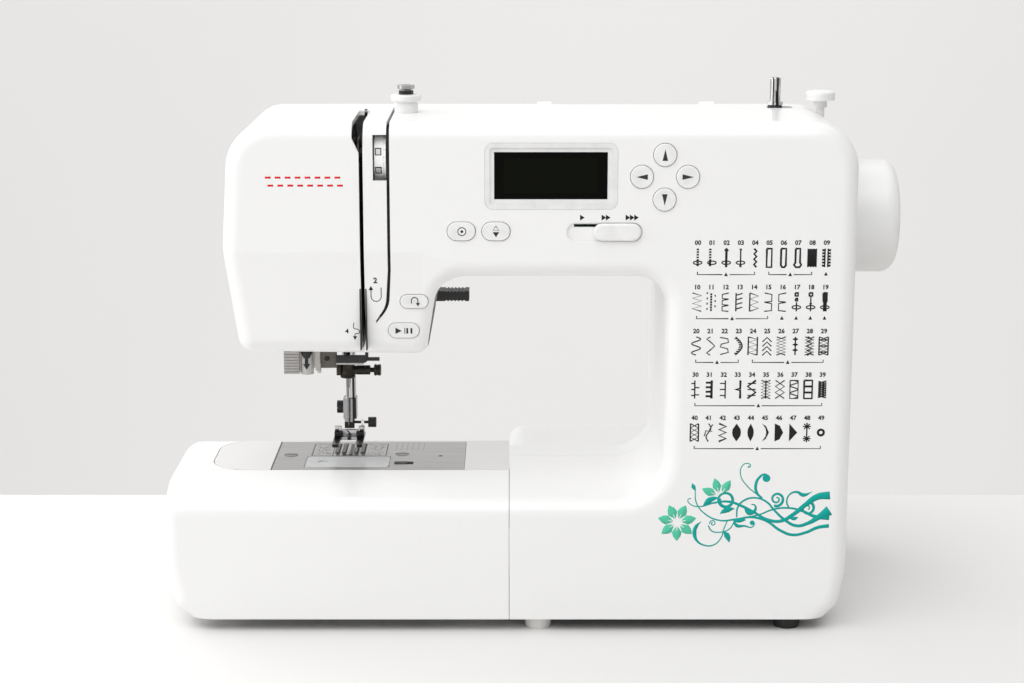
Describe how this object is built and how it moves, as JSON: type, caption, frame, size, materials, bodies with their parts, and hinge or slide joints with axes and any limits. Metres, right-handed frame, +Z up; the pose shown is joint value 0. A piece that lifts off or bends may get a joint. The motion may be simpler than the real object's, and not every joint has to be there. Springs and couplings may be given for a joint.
{
  "type": "sewing machine",
  "caption": "Free-arm domestic sewing machine with display and keys, driven needle and rotary hook, presser foot, hand wheel and a slide-off table with a storage lid.",
  "frame": {"origin": "middle of the footprint on the surface the machine stands on", "axes": "+X to the user's right along the arm, +Y away from the user, +Z up"},
  "size_m": [0.4115, 0.182, 0.295],
  "materials": {
    "shell_white": "smooth satin-gloss white ABS",
    "table_white": "smooth satin-gloss white ABS",
    "wheel_white": "satin white ABS",
    "base_grey": "matte moulded plastic",
    "frame_alloy": "die-cast",
    "bezel_white": "satin",
    "window_black": "polished dark window",
    "board_green": "solder-masked board",
    "steel_plate": "brushed along its length",
    "steel_bright": "polished",
    "steel_dark": "machined",
    "black_plastic": "fine texture",
    "bronze_dark": "blackened",
    "rubber_black": "matte",
    "lever_grey": "satin grey",
    "key_white": "satin",
    "clear_cover": "clear plastic",
    "lamp_clear": "frosted",
    "motor_steel": "black can"
  },
  "bodies": {
    "body": {"front_cover": "shell_white", "face_cover": "shell_white", "rear_cover": "shell_white", "free_arm_cover": "shell_white", "base_plate": "base_grey", "main_frame": "frame_alloy", "display_bezel": "bezel_white", "display_window": "window_black", "control_board": "board_green", "tension_unit": "steel_bright", "needle_plate": "steel_plate", "plate_screws": "steel_dark", "bobbin_guide": "key_white", "guide_discs": "steel_bright", "winder_stop": "key_white", "rubber_feet": "rubber_black", "motor": "motor_steel", "drive_belt": "rubber_black", "timing_belt": "rubber_black", "power_socket": "black_plastic", "lamp": "lamp_clear", "bobbin_case": "black_plastic", "spool_pin": "key_white"},
    "motor_rotor": {"motor_pulley": "steel_dark"},
    "power_rocker": {"power_switch": "black_plastic"},
    "shaft": {"handwheel": "wheel_white", "upper_shaft": "steel_dark"},
    "lower_drive": {"lower_shaft": "steel_dark"},
    "hook": {"rotary_hook": "steel_bright"},
    "bobbin": {"bobbin": "clear_cover"},
    "needle_unit": {"needle_bar": "steel_bright", "needle_clamp": "bronze_dark", "needle": "steel_bright"},
    "take_up": {"take_up_lever": "steel_bright"},
    "presser_unit": {"presser_bar": "steel_bright", "foot_holder": "steel_dark", "foot_screw": "black_plastic"},
    "foot": {"presser_foot": "steel_bright"},
    "lifter": {"presser_lifter": "black_plastic"},
    "threader_unit": {"threader": "lever_grey"},
    "buttonhole_unit": {"buttonhole_lever": "lever_grey"},
    "dial": {"tension_dial": "key_white"},
    "speed_knob": {"speed_slider": "key_white"},
    "table": {"extension_table": "table_white"},
    "lid": {"storage_lid": "table_white"},
    "winder": {"winder_arm": "black_plastic"},
    "winder_shaft": {"winder_spindle": "steel_bright"},
    "handle": {"carrying_handle": "shell_white"},
    "bobbin_cover": {"hook_cover": "clear_cover"},
    "release": {"cover_release": "black_plastic"},
    "feed": {"feed_dog": "steel_dark"},
    "drop": {"drop_lever": "black_plastic"},
    "key_left_cap": {"key_left": "key_white"},
    "key_right_cap": {"key_right": "key_white"},
    "key_up_cap": {"key_up": "key_white"},
    "key_down_cap": {"key_down": "key_white"},
    "lock_button_cap": {"lock_button": "key_white"},
    "needle_button_cap": {"needle_button": "key_white"},
    "reverse_button_cap": {"reverse_button": "key_white"},
    "start_button_cap": {"start_button": "key_white"}
  },
  "joints": [
    {"name": "handwheel_spin", "type": "hinge", "parent": "body", "child": "shaft", "pos_m": [0.19, 0.004, 0.2156], "axis": [1, 0, 0], "continuous": true},
    {"name": "motor_spin", "type": "hinge", "parent": "body", "child": "motor_rotor", "pos_m": [0.1, 0.052, 0.04], "axis": [1, 0, 0], "continuous": true},
    {"name": "lower_shaft_spin", "type": "hinge", "parent": "body", "child": "lower_drive", "pos_m": [0, 0.008, 0.034], "axis": [1, 0, 0], "continuous": true},
    {"name": "hook_spin", "type": "hinge", "parent": "body", "child": "hook", "pos_m": [-0.1072, -0.011, 0.05], "axis": [0, 0, 1], "continuous": true},
    {"name": "bobbin_spin", "type": "hinge", "parent": "body", "child": "bobbin", "pos_m": [-0.1072, -0.011, 0.06], "axis": [0, 0, 1], "continuous": true},
    {"name": "needle_bar_slide", "type": "slide", "parent": "body", "child": "needle_unit", "axis": [0, 0, 1], "range_m": [-0.033, 0]},
    {"name": "take_up_swing", "type": "hinge", "parent": "body", "child": "take_up", "pos_m": [-0.0914, -0.02, 0.2355], "axis": [1, 0, 0], "range_deg": [0, 50]},
    {"name": "presser_lift", "type": "hinge", "parent": "body", "child": "lifter", "pos_m": [-0.092, 0.03, 0.168], "axis": [0, -1, 0], "range_deg": [-45, 0]},
    {"name": "presser_bar_slide", "type": "slide", "parent": "body", "child": "presser_unit", "axis": [0, 0, 1], "range_m": [-0.0069, 0]},
    {"name": "foot_tilt", "type": "hinge", "parent": "presser_unit", "child": "foot", "pos_m": [-0.1072, 0.012, 0.0872], "axis": [1, 0, 0], "range_deg": [-6, 10], "stiffness_Nm_per_rad": 0.01},
    {"name": "threader_slide", "type": "slide", "parent": "body", "child": "threader_unit", "axis": [0, 0, 1], "range_m": [-0.03, 0], "stiffness_N_per_m": 40, "springref_m": 0.002},
    {"name": "buttonhole_slide", "type": "slide", "parent": "body", "child": "buttonhole_unit", "axis": [0, 0, 1], "range_m": [-0.022, 0]},
    {"name": "tension_turn", "type": "hinge", "parent": "body", "child": "dial", "pos_m": [-0.0815, -0.0723, 0.2604], "axis": [1, 0, 0], "range_deg": [-135, 135]},
    {"name": "speed_slide", "type": "slide", "parent": "body", "child": "speed_knob", "axis": [1, 0, 0], "range_m": [-0.0143, 0]},
    {"name": "table_slide", "type": "slide", "parent": "body", "child": "table", "axis": [-1, 0, 0], "range_m": [0, 0.19]},
    {"name": "lid_swing", "type": "hinge", "parent": "table", "child": "lid", "pos_m": [-0.11, -0.084, 0.012], "axis": [1, 0, 0], "range_deg": [0, 80]},
    {"name": "winder_shift", "type": "slide", "parent": "body", "child": "winder", "axis": [1, 0, 0], "range_m": [0, 0.005]},
    {"name": "winder_spin", "type": "hinge", "parent": "winder", "child": "winder_shaft", "pos_m": [0.1338, -0.009, 0.28], "axis": [0, 0, 1], "continuous": true},
    {"name": "handle_swing", "type": "hinge", "parent": "body", "child": "handle", "pos_m": [0.052, 0.016, 0.27], "axis": [1, 0, 0], "range_deg": [0, 165]},
    {"name": "hook_cover_tilt", "type": "hinge", "parent": "body", "child": "bobbin_cover", "pos_m": [-0.131, -0.011, 0.0728], "axis": [0, -1, 0], "range_deg": [0, 5]},
    {"name": "cover_release_slide", "type": "slide", "parent": "body", "child": "release", "axis": [1, 0, 0], "range_m": [0, 0.003], "stiffness_N_per_m": 300},
    {"name": "drop_lever_slide", "type": "slide", "parent": "body", "child": "drop", "axis": [1, 0, 0], "range_m": [0, 0.012]},
    {"name": "feed_dog_drop", "type": "slide", "parent": "body", "child": "feed", "axis": [0, 0, 1], "range_m": [-0.0025, 0]},
    {"name": "power_switch_rock", "type": "hinge", "parent": "body", "child": "power_rocker", "pos_m": [0.161, 0.047, 0.041], "axis": [0, 1, 0], "range_deg": [-8, 8]},
    {"name": "key_left_press", "type": "slide", "parent": "body", "child": "key_left_cap", "axis": [0, 1, 0], "range_m": [0, 0.001], "stiffness_N_per_m": 600, "springref_m": -0.0003},
    {"name": "key_right_press", "type": "slide", "parent": "body", "child": "key_right_cap", "axis": [0, 1, 0], "range_m": [0, 0.001], "stiffness_N_per_m": 600, "springref_m": -0.0003},
    {"name": "key_up_press", "type": "slide", "parent": "body", "child": "key_up_cap", "axis": [0, 1, 0], "range_m": [0, 0.001], "stiffness_N_per_m": 600, "springref_m": -0.0003},
    {"name": "key_down_press", "type": "slide", "parent": "body", "child": "key_down_cap", "axis": [0, 1, 0], "range_m": [0, 0.001], "stiffness_N_per_m": 600, "springref_m": -0.0003},
    {"name": "lock_button_press", "type": "slide", "parent": "body", "child": "lock_button_cap", "axis": [0, 1, 0], "range_m": [0, 0.001], "stiffness_N_per_m": 600, "springref_m": -0.0003},
    {"name": "needle_button_press", "type": "slide", "parent": "body", "child": "needle_button_cap", "axis": [0, 1, 0], "range_m": [0, 0.001], "stiffness_N_per_m": 600, "springref_m": -0.0003},
    {"name": "reverse_button_press", "type": "slide", "parent": "body", "child": "reverse_button_cap", "axis": [0, 1, 0], "range_m": [0, 0.001], "stiffness_N_per_m": 600, "springref_m": -0.0003},
    {"name": "start_button_press", "type": "slide", "parent": "body", "child": "start_button_cap", "axis": [0, 1, 0], "range_m": [0, 0.001], "stiffness_N_per_m": 600, "springref_m": -0.0003}
  ],
  "couplings": [
    {"joint": "motor_spin", "follows": "handwheel_spin", "ratio": 2.4286},
    {"joint": "lower_shaft_spin", "follows": "handwheel_spin", "ratio": 1},
    {"joint": "hook_spin", "follows": "handwheel_spin", "ratio": 2},
    {"joint": "take_up_swing", "follows": "needle_bar_slide", "rad_per_m": -26.418},
    {"joint": "presser_bar_slide", "follows": "presser_lift", "m_per_rad": 0.008777},
    {"joint": "feed_dog_drop", "follows": "drop_lever_slide", "ratio": -0.2081}
  ]
}
